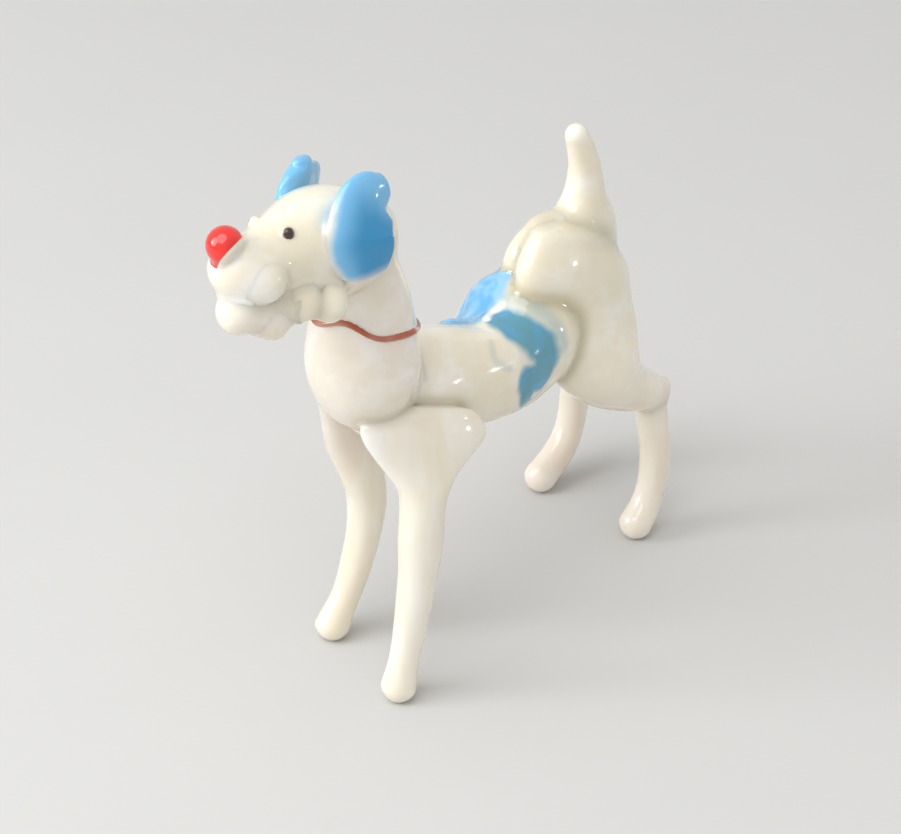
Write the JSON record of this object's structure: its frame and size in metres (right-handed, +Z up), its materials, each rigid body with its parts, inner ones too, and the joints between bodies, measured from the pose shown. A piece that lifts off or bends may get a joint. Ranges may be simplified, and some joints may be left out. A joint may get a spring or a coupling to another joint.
{
  "type": "glass dog figurine",
  "caption": "Miniature lampworked glass terrier standing on slim legs, with blue ears and saddle marks, a red nose bead and a thread collar.",
  "frame": {"origin": "on the standing surface, under the middle of the dog's bounding box", "axes": "+Z up from the standing surface, -Y the way the dog looks, +X the dog's left side"},
  "size_m": [0.0134, 0.0487, 0.0452],
  "materials": {
    "opal_glass": "glossy opaque white glass, warm in the thick places",
    "blue_glass": "glossy opaque blue glass",
    "red_glass": "glossy red glass",
    "brown_glass": "glossy dark brown glass",
    "thread_glass": "glossy red-brown glass thread"
  },
  "bodies": {
    "root": {"torso": "opal_glass", "saddle_back": "blue_glass", "saddle_left": "blue_glass", "chest_and_neck": "opal_glass", "collar": "thread_glass", "head": "opal_glass", "jaw_and_chin": "opal_glass", "lip_left": "opal_glass", "lip_right": "opal_glass", "beard_left": "opal_glass", "beard_right": "opal_glass", "cheek_left": "opal_glass", "cheek_right": "opal_glass", "jowl_left": "opal_glass", "jowl_right": "opal_glass", "nose": "red_glass", "eye_left": "brown_glass", "eye_right": "brown_glass", "ear_left": "blue_glass", "ear_right": "blue_glass", "front_leg_left": "opal_glass", "front_leg_right": "opal_glass", "haunch_left": "opal_glass", "haunch_right": "opal_glass", "hind_leg_left": "opal_glass", "hind_leg_right": "opal_glass", "tail": "opal_glass"}
  },
  "joints": []
}
